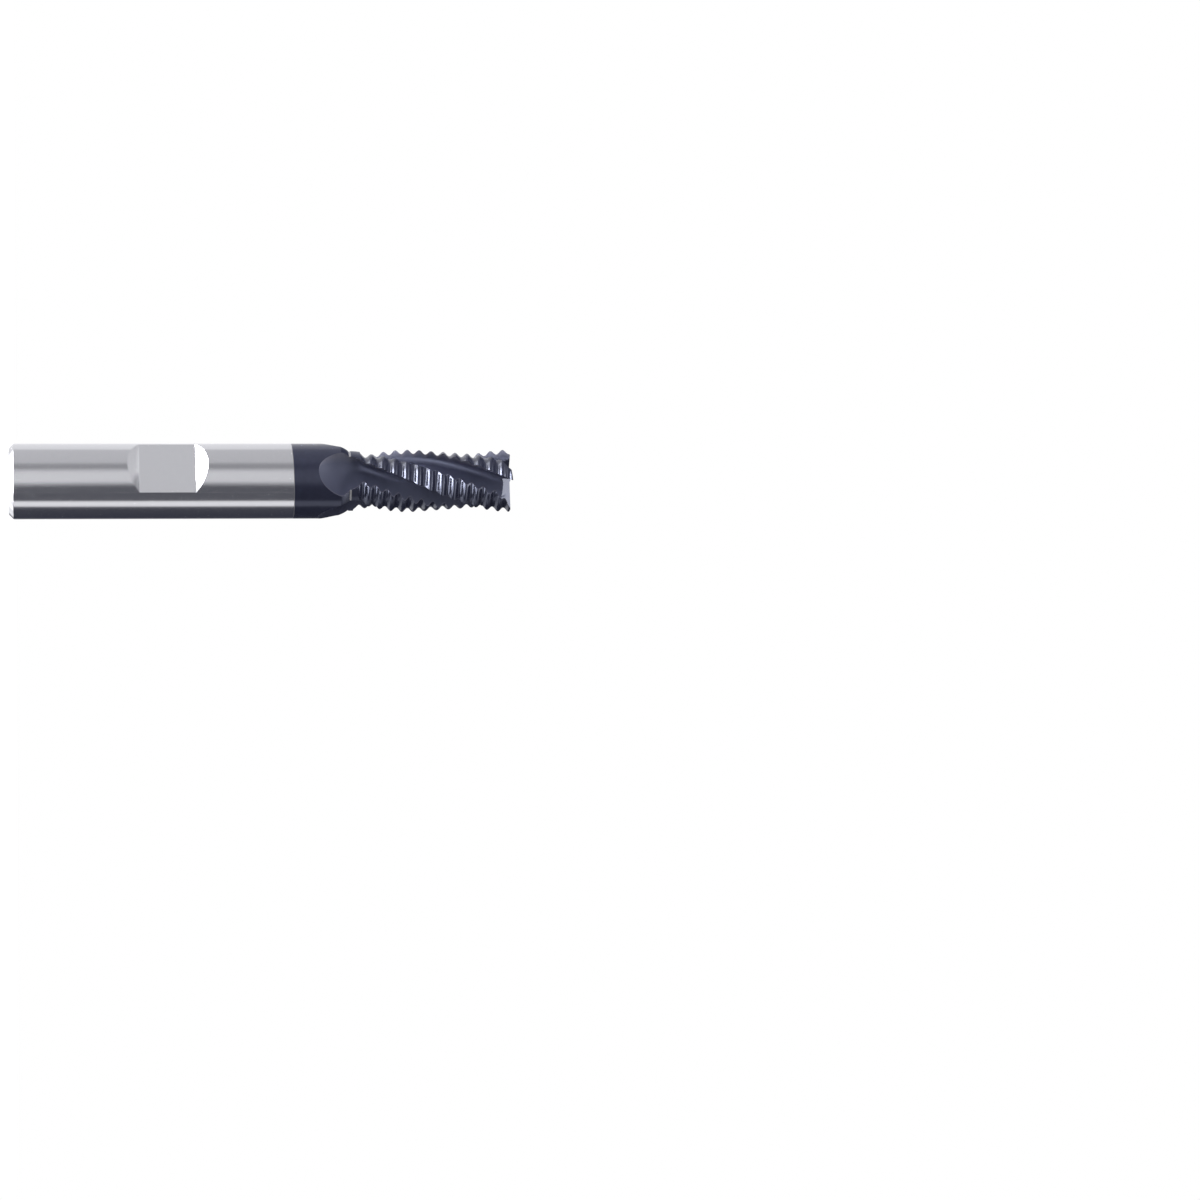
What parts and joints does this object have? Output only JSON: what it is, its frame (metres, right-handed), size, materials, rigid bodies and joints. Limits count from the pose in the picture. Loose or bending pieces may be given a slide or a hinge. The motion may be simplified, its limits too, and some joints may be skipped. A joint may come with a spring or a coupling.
{
  "type": "roughing end mill",
  "caption": "Roughing end mill with knuckle-form teeth on helical flutes, a dark coated cutting end and a bright round shank with a clamping flat.",
  "frame": {"origin": "centre of the shank end face, which is the lowest point; the tool stands on it", "axes": "+Z along the tool from the shank end to the cutting end; the clamping flat faces -Y"},
  "size_m": [0.0096, 0.0096, 0.0635],
  "materials": {
    "tool_steel": "ground high-speed steel: bright shank, dark violet-grey coating over the neck and cutting end"
  },
  "bodies": {
    "root": {"end_mill": "tool_steel"}
  },
  "joints": []
}
